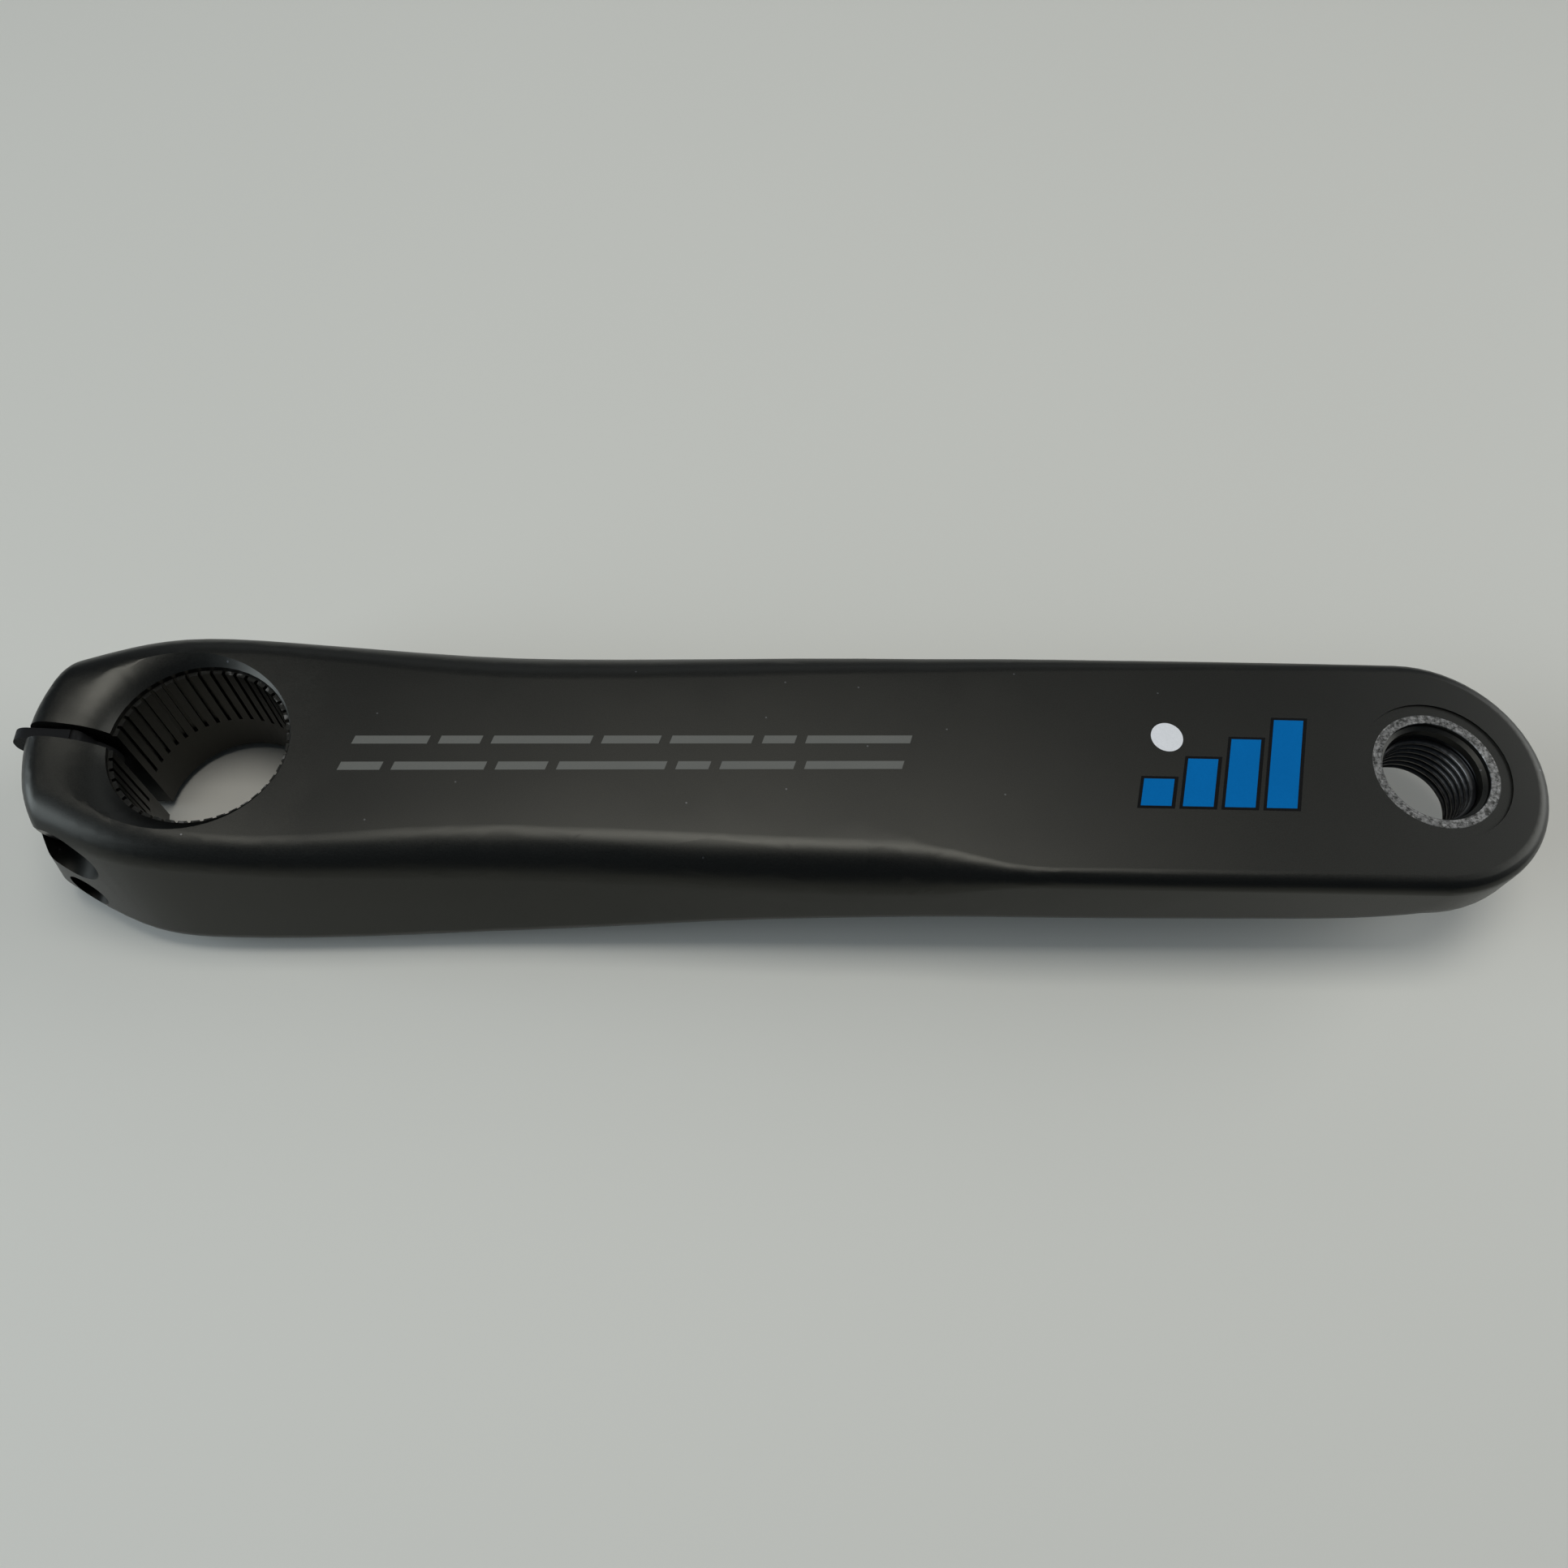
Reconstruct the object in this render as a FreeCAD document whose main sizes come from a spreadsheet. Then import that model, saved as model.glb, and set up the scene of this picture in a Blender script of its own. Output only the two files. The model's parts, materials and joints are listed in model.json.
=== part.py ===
import FreeCAD, Part
import math
import os
import Sketcher

# Left crank arm with a power meter pod on its inboard face.
# Millimetres. The origin is on the spindle axis in the plane of the inboard boss face,
# +X runs to the pedal axis, +Z points outboard.

doc = FreeCAD.newDocument("PowerMeterCrankArm")
sheet = doc.addObject("Spreadsheet::Sheet", "sizes")

SIZES = (
    ("crank_length", 172.5, "spindle axis to pedal axis"),
    ("eye_shift", 1.8, "centre of the rounded pedal end behind the pedal axis"),
    ("outer_face", 20.85, "height of the outboard face"),
    ("blade_inner", 7.8, "height of the inboard face past the blend"),
    ("blend_start", 12.0, "where the inboard face leaves the boss plane"),
    ("blend_end", 116.0, "where the inboard face levels out"),
    ("ramp_foot", 12.0, "where the outboard face starts to climb to the clamp"),
    ("hump_offset", 15.0, "crest of the clamp behind the spindle axis"),
    ("hump_rise", 2.55, "crest of the clamp above the outboard face"),
    ("ramp_blend", 6.0, "half length of the soft start of that climb"),
    ("station_count", 21, "sections that shape the arm"),
    ("round_strips", 4, "strips across each edge round"),
    ("overrun", 4.0, "how far tools run past the metal"),
    ("clamp_spare", 1.0, "metal trimmed off behind the clamp end"),
    ("clamp_reach_low", 26.5, "spindle axis to clamp end, boss plane"),
    ("clamp_reach_top", 22.3, "spindle axis to clamp end, outboard face"),
    ("clamp_end_round", 26.0, "plan radius of the clamp end"),
    ("cheek_half_low", 17.0, "half width at the pinch bolts, boss plane"),
    ("cheek_half_top", 13.8, "half width at the pinch bolts, outboard face"),
    ("cheek_power", 2.6, "how late the sides turn in towards the clamp end"),
    ("shoulder_place", 4.0, "station of the widest spindle section"),
    ("shoulder_half_low", 21.95, "half width there, boss plane"),
    ("shoulder_half_top", 17.6, "half width there, outboard face"),
    ("waist_place", 42.0, "station of the waist"),
    ("waist_half_low", 21.05, "half width there, boss plane"),
    ("waist_half_top", 16.35, "half width there, outboard face"),
    ("hip_place", 94.0, "station where the heavy edge round ends"),
    ("hip_half_low", 20.65, "half width there, boss plane"),
    ("hip_half_top", 17.9, "half width there, outboard face"),
    ("blade_place", 115.0, "station where the slim edge round starts"),
    ("blade_half_low", 20.4, "half width there, boss plane"),
    ("blade_half_top", 18.2, "half width there, outboard face"),
    ("eye_radius_low", 18.9, "plan radius of the pedal end, boss plane"),
    ("eye_radius_top", 18.35, "plan radius of the pedal end, outboard face"),
    ("clamp_round", 6.0, "outboard edge round at the clamp"),
    ("clamp_foot", 6.0, "inboard edge round at the clamp end"),
    ("clamp_edge", 2.5, "round between the clamp end and its sides"),
    ("shoulder_round", 4.5, "outboard edge round at the spindle"),
    ("waist_round", 6.3, "outboard edge round along the waist"),
    ("eye_round", 2.4, "outboard edge round along the blade and eye"),
    ("inner_round", 3.0, "inboard edge round along the arm"),
    ("eye_foot", 6.0, "inboard edge round at the pedal end"),
    ("eye_foot_run", 13.0, "length over which that round grows"),
    ("lip_radius", 12.1, "bore above the splines"),
    ("spline_count", 44, "number of spline grooves"),
    ("spline_crest", 11.45, "radius over the spline ribs"),
    ("spline_root", 12.0, "radius in the spline grooves"),
    ("spline_start", 7.4, "height where the splines start"),
    ("spline_end", 20.1, "height where the splines end"),
    ("groove_mouth", 0.62, "groove width one groove depth inside the rib tops"),
    ("groove_floor", 0.42, "groove width at the root"),
    ("scoop_steep", 45.0, "scoop wall from the spindle axis at the rim, degrees"),
    ("scoop_flat", 76.0, "scoop wall from the spindle axis at its outer edge, degrees"),
    ("scoop_round", 9.0, "bend of the scoop wall"),
    ("slot_width", 2.2, "clamp slot"),
    ("bolt_margin", 9.6, "pinch bolts to the clamp end, boss plane"),
    ("bolt_upper", 15.4, "height of the outboard pinch bolt"),
    ("bolt_lower", 6.2, "height of the inboard pinch bolt"),
    ("bolt_radius", 2.45, "pinch bolt shank"),
    ("bolt_hole", 2.75, "pinch bolt hole"),
    ("bolt_length", 16.0, "pinch bolt under the head"),
    ("bolt_seat", 6.0, "head seat beside the slot centre"),
    ("head_radius", 4.25, "bolt head"),
    ("head_height", 5.0, "bolt head"),
    ("head_bore", 4.9, "counterbore for the bolt head"),
    ("hex_width", 4.0, "hex socket across flats"),
    ("hex_depth", 2.6, "hex socket depth"),
    ("eye_hole", 7.14, "pedal thread, major radius"),
    ("eye_ring", 9.05, "outer radius of the pedal chamfer"),
    ("eye_ring_depth", 1.2, "depth of the pedal chamfer"),
    ("eye_recess", 10.7, "radius of the pedal seat"),
    ("eye_recess_depth", 0.25, "depth of the pedal seat"),
    ("eye_back_chamfer", 0.7, "chamfer on the inboard side of the pedal hole"),
    ("plate_thickness", 1.6, "stopper plate"),
    ("plate_hub", 4.4, "stopper plate ring round the bolt"),
    ("plate_hole", 2.8, "stopper plate hole"),
    ("plate_tab", 7.7, "bolt axis to the tip of the tab"),
    ("plate_tab_width", 4.6, "width of the tab"),
    ("plate_tab_angle", 177.0, "direction of the tab, degrees from +X towards +Z"),
    ("plate_toe", 6.2, "bolt axis to the tip of the toe"),
    ("plate_toe_width", 2.4, "width of the toe"),
    ("plate_toe_angle", 110.0, "direction of the toe, degrees from +X towards +Z"),
    ("plate_tip_share", 0.45, "corner round of both tips, share of their width"),
    ("pod_start", 52.0, "spindle axis to the pod"),
    ("pod_length", 64.0, "pod along the arm"),
    ("pod_width", 29.0, "pod across the arm"),
    ("pod_drop", 1.5, "pod face below the boss plane"),
    ("pod_corner", 9.0, "plan radius of the pod corners"),
    ("pod_edge", 1.2, "bevel along the pod face"),
    ("pod_wall", 1.6, "side walls of the pod"),
    ("pod_floor", 2.2, "floor of the pod"),
    ("bond", 0.3, "adhesive under the pod rim"),
    ("door_place", 100.0, "spindle axis to the door axis"),
    ("door_radius", 11.0, "battery door"),
    ("door_gap", 0.2, "radial play of the door"),
    ("door_recess", 0.15, "door face below the pod face"),
    ("door_plate", 1.3, "thickness of the door"),
    ("door_lift", 0.05, "door under its ledge"),
    ("neck_inner", 8.8, "ring on the door, inner radius"),
    ("neck_outer", 10.0, "ring on the door, outer radius"),
    ("neck_rise", 0.8, "ring on the door above the pod floor"),
    ("ledge_hole", 10.2, "hole in the ledge that the lugs pass under"),
    ("lug_height", 0.55, "bayonet lug"),
    ("lug_play", 0.15, "lug over the ledge"),
    ("lug_radius", 10.95, "tip of a bayonet lug"),
    ("lug_angle", 30.0, "width of a lug, degrees"),
    ("lug_count", 3, "number of lugs"),
    ("notch_margin", 4.0, "notch wider than its lug, degrees"),
    ("door_turn", 40.0, "twist that frees the door, degrees"),
    ("coin_slot_length", 13.0, "slot in the door"),
    ("coin_slot_width", 1.8, "slot in the door"),
    ("coin_slot_depth", 0.7, "slot in the door"),
    ("seal_depth", 0.65, "section of the door seal, across"),
    ("seal_height", 0.6, "section of the door seal, upright"),
    ("seal_play", 0.03, "seal in its groove"),
    ("groove_depth", 0.6, "seal groove in the door"),
    ("groove_width", 0.7, "seal groove in the door"),
    ("cell_radius", 10.0, "coin cell"),
    ("cell_height", 3.2, "coin cell"),
    ("cell_crown", 8.8, "negative cap of the coin cell"),
    ("cell_step", 0.25, "negative cap of the coin cell"),
    ("cell_play", 0.05, "coin cell over the door"),
    ("bay_outer", 12.4, "battery bay, outer radius"),
    ("bay_wide", 11.3, "battery bay round the lugs"),
    ("bay_step", 0.9, "height of that part of the bay"),
    ("bay_inner", 10.3, "battery bay round the cell"),
    ("bay_height", 2.9, "battery bay over the pod floor"),
    ("bay_window", 1.5, "gap in the bay for the positive spring"),
    ("board_gap", 0.8, "circuit board to pod wall"),
    ("board_length", 30.0, "circuit board"),
    ("board_width", 22.0, "circuit board"),
    ("board_corner", 5.0, "circuit board corners"),
    ("board_thickness", 0.8, "circuit board"),
    ("board_lift", 0.4, "posts under the circuit board"),
    ("post_radius", 1.2, "posts under the circuit board"),
    ("post_inset", 5.0, "posts from the board edges"),
    ("shield_length", 11.0, "radio shield"),
    ("shield_width", 10.0, "radio shield"),
    ("shield_height", 1.4, "radio shield"),
    ("shield_skin", 0.25, "radio shield sheet"),
    ("shield_place", 10.0, "radio shield from the board end"),
    ("chip_side", 6.0, "radio chip"),
    ("chip_height", 0.9, "radio chip"),
    ("sensor_side", 3.0, "motion sensor"),
    ("sensor_height", 1.0, "motion sensor"),
    ("sensor_place", 23.0, "motion sensor from the board end"),
    ("sensor_side_step", 6.0, "motion sensor from the centre line"),
    ("antenna_length", 6.5, "chip antenna"),
    ("antenna_width", 2.0, "chip antenna"),
    ("antenna_height", 1.0, "chip antenna"),
    ("antenna_place", 6.0, "chip antenna from the board end"),
    ("led_place", 22.0, "status light from the board end"),
    ("led_side_step", 7.5, "status light from the centre line"),
    ("led_side", 1.6, "status light"),
    ("led_height", 0.35, "status light"),
    ("pipe_radius", 1.0, "light pipe"),
    ("pipe_play", 0.05, "light pipe in the floor"),
    ("gauge_place", 74.0, "spindle axis to the strain gauge"),
    ("gauge_length", 12.0, "strain gauge"),
    ("gauge_width", 8.0, "strain gauge"),
    ("gauge_thickness", 0.15, "strain gauge film"),
    ("ribbon_place", 78.0, "spindle axis to the gauge ribbon"),
    ("ribbon_width", 4.0, "gauge ribbon"),
    ("ribbon_thickness", 0.15, "gauge ribbon"),
    ("ribbon_foot", 2.0, "gauge ribbon on the board"),
    ("spring_sheet", 0.3, "battery spring sheet"),
    ("spring_width", 5.0, "battery spring"),
    ("spring_foot", 3.0, "battery spring on the board"),
    ("spring_reach", 2.0, "negative spring past the door axis"),
    ("finger_side_step", 7.5, "positive spring from the centre line"),
    ("finger_height", 0.9, "positive spring finger"),
    ("finger_lift", 0.5, "positive spring finger over the board"),
    ("finger_gap", 0.05, "positive spring to the cell"),
)
for row, (alias, value, note) in enumerate(SIZES, start=1):
    sheet.set(f"A{row}", str(value))
    sheet.setAlias(f"A{row}", alias)
    sheet.set(f"B{row}", note)
doc.recompute()


def size(alias):
    return float(sheet.get(alias))


def bind(item, **expressions):
    for name, expression in expressions.items():
        item.setExpression(name, expression)


def place(item, x="0", y="0", z="0", turn=None):
    if turn:
        item.Placement = FreeCAD.Placement(FreeCAD.Vector(), turn)
    for letter, expression in (("x", x), ("y", y), ("z", z)):
        item.setExpression(f"Placement.Base.{letter}", expression)


BOLT = "(sizes.bolt_margin - sizes.clamp_reach_low)"
ALONG_Y = FreeCAD.Rotation(FreeCAD.Vector(1, 0, 0), -90)
AGAINST_Y = FreeCAD.Rotation(FreeCAD.Vector(1, 0, 0), 90)


def cylinder(name, radius, height, x="0", y="0", z="0", turn=None):
    item = doc.addObject("Part::Cylinder", name)
    bind(item, Radius=radius, Height=height)
    place(item, x, y, z, turn)
    return item


def cone(name, low, high, height, x="0", y="0", z="0"):
    item = doc.addObject("Part::Cone", name)
    bind(item, Radius1=low, Radius2=high, Height=height)
    place(item, x, y, z)
    return item


def box(name, length, width, height, x="0", y="0", z="0"):
    item = doc.addObject("Part::Box", name)
    bind(item, Length=length, Width=width, Height=height)
    place(item, x, y, z)
    return item


def cut(name, base, tool):
    item = doc.addObject("Part::Cut", name)
    item.Base = base
    item.Tool = tool
    return item


def fuse(name, pieces):
    item = doc.addObject("Part::MultiFuse", name)
    item.Shapes = pieces
    return item


def rounded(name, base, radius, chosen, kind="Part::Fillet"):
    """Rounds or bevels the edges of a piece that pass a test."""
    doc.recompute()
    item = doc.addObject(kind, name)
    item.Base = base
    edges = enumerate(base.Shape.Edges, start=1)
    item.Edges = [(number, radius, radius) for number, edge in edges if chosen(edge)]
    return item


def upright(edge):
    return edge.BoundBox.ZLength > max(edge.BoundBox.XLength, edge.BoundBox.YLength)


# Cross-sections of the arm: leaning walls, flat faces and rounded corners at every station.

def eased(x, stations):
    """Value at x of a run of (place, value) pairs joined by level-ended curves."""
    if x <= stations[0][0]:
        return stations[0][1]
    for (low, start), (high, finish) in zip(stations, stations[1:]):
        if x <= high:
            share = (x - low) / (high - low)
            return start + (finish - start) * share ** 2 * (3 - 2 * share)
    return stations[-1][1]


def bolt_offset():
    return size("clamp_reach_low") - size("bolt_margin")


def eye_centre():
    return size("crank_length") - size("eye_shift")


def half_width(x, level):
    shoulder = size("shoulder_place")
    widest = size(f"shoulder_half_{level}")
    if x < shoulder:
        turn_in = widest - size(f"cheek_half_{level}")
        run = shoulder + bolt_offset()
        share = min((shoulder - x) / run, 1.0)
        past = max((shoulder - x) / run - 1.0, 0.0)
        return widest - turn_in * (share ** size("cheek_power") + size("cheek_power") * past)
    stations = [(shoulder, widest)]
    for name in ("waist", "hip", "blade"):
        stations.append((size(f"{name}_place"), size(f"{name}_half_{level}")))
    stations.append((eye_centre(), size(f"eye_radius_{level}")))
    return eased(x, stations)


def outer_height(x):
    climb = size("hump_rise") / (size("ramp_foot") + size("hump_offset"))
    soft = size("ramp_blend")
    run = size("ramp_foot") - x
    if abs(run) < soft:
        run = (run + soft) ** 2 / (4 * soft)
    return size("outer_face") + max(0.0, run) * climb


def inner_height(x):
    rise = size("blade_inner")
    run = (size("blend_end") - size("blend_start")) / 2
    bend = (run ** 2 + (rise / 2) ** 2) / rise
    along = min(max(x - size("blend_start"), 0.0), 2 * run)
    if along <= run:
        return bend - math.sqrt(bend ** 2 - along ** 2)
    return rise - bend + math.sqrt(bend ** 2 - (2 * run - along) ** 2)


def outer_round(x, side):
    """Outboard edge round: heavy up to the hip on the near side (1), thinning out evenly on the far side."""
    stations = [
        (-bolt_offset(), size("clamp_round")),
        (0.0, size("shoulder_round")),
        (size("shoulder_place"), size("shoulder_round")),
        (size("waist_place"), size("waist_round")),
    ]
    if side > 0:
        stations.append((size("hip_place"), size("waist_round")))
        stations.append((size("blade_place"), size("eye_round")))
    stations.append((eye_centre(), size("eye_round")))
    return eased(x, stations)


def inner_round(x):
    stations = [
        (size("clamp_edge") - size("clamp_reach_low"), size("clamp_foot")),
        (size("bolt_hole") - bolt_offset(), size("inner_round")),
        (eye_centre() - size("eye_foot_run"), size("inner_round")),
        (eye_centre(), size("eye_foot")),
    ]
    return eased(x, stations)


def rounded_corner(corner, before, after, radius):
    """Control points of the curve that rounds a corner between two straight sides."""
    to_before = (before - corner).normalize()
    to_after = (after - corner).normalize()
    opening = to_before.getAngle(to_after)
    reach = radius / math.tan(opening / 2)
    handle = reach - radius * math.tan((math.pi - opening) / 4) * 4 / 3
    return (
        corner + to_before * reach,
        corner + to_before * handle,
        corner + to_after * handle,
        corner + to_after * reach,
    )


def half_section(x, drop=0.0, side=1):
    """Inboard and outboard round of the near (1) or far (-1) half of a section, lowered by a gap."""
    low = inner_height(x)
    high = outer_height(x)
    wide_low = half_width(x, "low")
    lean = (half_width(x, "top") - wide_low) / size("outer_face")
    inner = FreeCAD.Vector(x, -side * (wide_low + lean * low), low - drop)
    outer = FreeCAD.Vector(x, -side * (wide_low + lean * high), high - drop)
    foot = rounded_corner(inner, FreeCAD.Vector(x, 0, inner.z), outer, inner_round(x))
    brow = rounded_corner(outer, inner, FreeCAD.Vector(x, 0, outer.z), outer_round(x, side))
    return foot, brow


def line(start, finish):
    return Part.LineSegment(start, finish).toShape()


def round_shares():
    """Bounds of the strips a round is made of, as shares of its sweep."""
    count = int(size("round_strips"))
    return [(number / count, (number + 1) / count) for number in range(count)]


def curves(points):
    edges = []
    for start, finish in round_shares():
        bend = Part.BezierCurve()
        bend.setPoles(list(points))
        bend.segment(start, finish)
        edges.append(bend.toShape())
    return edges


def arm_stations():
    start = -size("clamp_reach_low") - size("clamp_spare")
    count = int(size("station_count"))
    step = (eye_centre() - start) / (count - 1)
    return [start + step * number for number in range(count)]


def skin_surface(rails):
    """Surface through rails that share their knots: two rails make it straight across, four round."""
    degree = len(rails) - 1
    surface = Part.BSplineSurface()
    surface.buildFromPolesMultsKnots(
        [rail.getPoles() for rail in rails],
        [degree + 1, degree + 1], rails[0].getMultiplicities(),
        [0.0, 1.0], rails[0].getKnots(),
        False, False, degree, rails[0].Degree,
    )
    return surface


def round_faces(rails):
    faces = []
    first = rails[0].FirstParameter
    last = rails[0].LastParameter
    for start, finish in round_shares():
        surface = skin_surface(rails)
        surface.segment(start, finish, first, last)
        faces.append(surface.toShape())
    return faces


def flat_face(rails):
    return skin_surface(rails).toShape()


def section_outline(x, drop, side):
    """Edges of one half of a section, from the inboard to the outboard face."""
    foot, brow = half_section(x, drop, side)
    return curves(foot) + [line(foot[-1], brow[0])] + curves(brow)


def section_face(x, drop):
    near_foot, near_brow = half_section(x, drop, 1)
    far_foot, far_brow = half_section(x, drop, -1)
    edges = [line(far_foot[0], near_foot[0]), line(near_brow[-1], far_brow[-1])]
    edges += section_outline(x, drop, 1) + section_outline(x, drop, -1)
    return Part.Face(Part.Wire(Part.__sortEdges__(edges)))


def side_rails(stations, drop, side):
    """Curves along the arm through the round's control points, on the near (1) or far (-1) side."""
    rows = []
    for x in stations:
        foot, brow = half_section(x, drop, side)
        rows.append(foot + brow)
    rails = []
    for points in zip(*rows):
        rail = Part.BSplineCurve()
        rail.interpolate(Points=list(points), Parameters=stations)
        rails.append(rail)
    return rails


def arm_beam(name, drop=0.0):
    """Arm from the clamp to the pedal axis, skinned over its sections and lowered by a gap."""
    stations = arm_stations()
    near = side_rails(stations, drop, 1)
    far = side_rails(stations, drop, -1)
    faces = [flat_face([far[0], near[0]]), flat_face([near[-1], far[-1]])]
    for side in (near, far):
        faces += round_faces(side[:4]) + [flat_face(side[3:5])] + round_faces(side[4:])
    faces += [section_face(stations[0], drop), section_face(stations[-1], drop)]
    skin = Part.Shell(faces)
    skin.sewShape()
    item = doc.addObject("Part::Feature", name)
    item.Shape = Part.Solid(skin)
    return item


def turned(name, edges, x, angle):
    """Closed outline turned about an upright axis at x."""
    profile = doc.addObject("Part::Feature", name + "_profile")
    profile.Shape = Part.Face(Part.Wire(edges))
    item = doc.addObject("Part::Revolution", name)
    item.Source = profile
    item.Axis = FreeCAD.Vector(0, 0, 1)
    item.Base = FreeCAD.Vector(x, 0, 0)
    item.Angle = angle
    item.Solid = True
    return item


def arm_eye():
    """Pedal end: the last half section turned half a circle."""
    eye = eye_centre()
    foot, brow = half_section(eye)
    low = FreeCAD.Vector(eye, 0, foot[0].z)
    high = FreeCAD.Vector(eye, 0, brow[-1].z)
    outline = [line(low, foot[0])] + section_outline(eye, 0.0, 1) + [line(brow[-1], high), line(high, low)]
    return turned("arm_eye", outline, eye, 180)


# Crank arm: blank, edge rounds, then everything that is machined into it.

def common(name, base, tool):
    item = doc.addObject("Part::Common", name)
    item.Base = base
    item.Tool = tool
    return item


def body_sketch(body, name, plane):
    sketch = body.newObject("Sketcher::SketchObject", name)
    origin = [item for item in body.Origin.OriginFeatures if item.Role == plane][0]
    sketch.AttachmentSupport = [(origin, "")]
    sketch.MapMode = "FlatFace"
    return sketch


def measure(sketch, constraint, expression):
    index = sketch.addConstraint(constraint)
    sketch.setExpression(f"Constraints[{index}]", expression)


def spline_broach():
    """Splined plug that cuts the bore: a core with one tooth, repeated so that a rib lies towards the pedal."""
    rule = Sketcher.Constraint
    body = doc.addObject("PartDesign::Body", "spline_broach")
    core = body_sketch(body, "broach_core", "XY_Plane")
    core.addGeometry(Part.Circle(FreeCAD.Vector(), FreeCAD.Vector(0, 0, 1), size("spline_crest")))
    core.addConstraint(rule("Coincident", 0, 3, -1, 1))
    measure(core, rule("Radius", 0, size("spline_crest")), "sizes.spline_crest")
    core_pad = body.newObject("PartDesign::Pad", "broach_core_pad")
    core_pad.Profile = core
    bind(core_pad, Length="sizes.spline_end - sizes.spline_start")
    tooth = body_sketch(body, "broach_tooth", "XY_Plane")
    mouth = size("groove_mouth") / 2
    floor = size("groove_floor") / 2
    depth = size("spline_root") - size("spline_crest")
    inside = size("spline_crest") - depth
    points = (
        FreeCAD.Vector(inside, -mouth, 0),
        FreeCAD.Vector(size("spline_root"), -floor, 0),
        FreeCAD.Vector(size("spline_root"), floor, 0),
        FreeCAD.Vector(inside, mouth, 0),
    )
    for number, point in enumerate(points):
        tooth.addGeometry(Part.LineSegment(point, points[(number + 1) % 4]))
    for number in range(4):
        tooth.addConstraint(rule("Coincident", number, 2, (number + 1) % 4, 1))
    tooth.addConstraint(rule("Symmetric", 0, 1, 2, 2, -1))
    tooth.addConstraint(rule("Symmetric", 0, 2, 2, 1, -1))
    measure(tooth, rule("DistanceY", 1, 1, 1, 2, 2 * floor), "sizes.groove_floor")
    measure(tooth, rule("DistanceY", 3, 2, 3, 1, 2 * mouth), "sizes.groove_mouth")
    measure(tooth, rule("DistanceX", -1, 1, 1, 1, size("spline_root")), "sizes.spline_root")
    measure(tooth, rule("DistanceX", -1, 1, 3, 2, inside), "2 * sizes.spline_crest - sizes.spline_root")
    tooth_pad = body.newObject("PartDesign::Pad", "broach_tooth_pad")
    tooth_pad.Profile = tooth
    bind(tooth_pad, Length="sizes.spline_end - sizes.spline_start")
    doc.recompute()
    ring = body.newObject("PartDesign::PolarPattern", "broach_teeth")
    ring.Originals = [tooth_pad]
    ring.Axis = (core, ["N_Axis"])
    ring.Angle = 360
    bind(ring, Occurrences="sizes.spline_count")
    body.Tip = ring
    half_pitch = FreeCAD.Rotation(FreeCAD.Vector(0, 0, 1), 180 / size("spline_count"))
    place(body, z="sizes.spline_start", turn=half_pitch)
    return body


def bolt_tools(name, height, side):
    """Hole and counterbore of one pinch bolt; side is -1 where the head is on the near side."""
    turn = ALONG_Y if side > 0 else AGAINST_Y
    depth = "sizes.shoulder_half_low + sizes.overrun"
    seat = f"{side} * sizes.bolt_seat"
    through = cylinder(name + "_hole", "sizes.bolt_hole", f"2 * ({depth})",
                       BOLT, f"{-side} * ({depth})", height, turn)
    mouth = cylinder(name + "_counterbore", "sizes.head_bore", depth, BOLT, seat, height, turn)
    return [through, mouth]


def clamp_end(beam):
    """Trims the beam to the leaning, slightly bowed clamp end and rounds the new edges."""
    lean = "((sizes.clamp_reach_low - sizes.clamp_reach_top) / sizes.outer_face)"
    angle = math.atan((size("clamp_reach_low") - size("clamp_reach_top")) / size("outer_face"))
    block = box("clamp_end_block", "3 * sizes.overrun + sizes.bolt_margin",
                "2 * (sizes.shoulder_half_low + sizes.overrun)", "sizes.outer_face + 4 * sizes.overrun",
                "-sizes.clamp_reach_low - 3 * sizes.overrun", "-sizes.shoulder_half_low - sizes.overrun",
                "-sizes.overrun")
    bow = cylinder("clamp_end_bow", "sizes.clamp_end_round", "2 * (sizes.outer_face + 4 * sizes.overrun)")
    centre = f"sizes.clamp_end_round / cos(atan({lean})) - sizes.clamp_reach_low - 3 * sizes.overrun * {lean}"
    tilt = FreeCAD.Rotation(FreeCAD.Vector(0, 1, 0), math.degrees(angle))
    place(bow, centre, z="-3 * sizes.overrun", turn=tilt)
    waste = cut("clamp_end_waste", block, bow)
    trimmed = cut("arm_trimmed", beam, waste)
    doc.recompute()
    end_face = min(trimmed.Shape.Faces, key=lambda face: face.CenterOfMass.x)

    def at_end(edge):
        return any(edge.isSame(other) for other in end_face.Edges)

    return rounded("arm_clamp_round", trimmed, size("clamp_edge"), at_end)


def bore_scoop():
    """Funnel round the mouth of the bore: its wall bends outwards and runs on straight."""
    steep = math.radians(size("scoop_steep"))
    flat = math.radians(size("scoop_flat"))
    bend = size("scoop_round")
    rim = FreeCAD.Vector(size("lip_radius"), 0, size("outer_face"))
    centre = rim + FreeCAD.Vector(math.cos(steep), 0, -math.sin(steep)) * bend

    def on_bend(angle):
        return centre + FreeCAD.Vector(-math.cos(angle), 0, math.sin(angle)) * bend

    top = size("outer_face") + size("hump_rise") + size("overrun")
    leave = on_bend(flat)
    out = FreeCAD.Vector(leave.x + (top - leave.z) * math.tan(flat), 0, top)
    high = FreeCAD.Vector(0, 0, top)
    low = FreeCAD.Vector(0, 0, rim.z)
    wall = Part.Arc(rim, on_bend((steep + flat) / 2), leave).toShape()
    outline = [line(low, rim), wall, line(leave, out), line(out, high), line(high, low)]
    return turned("bore_scoop", outline, 0, 360)


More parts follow.
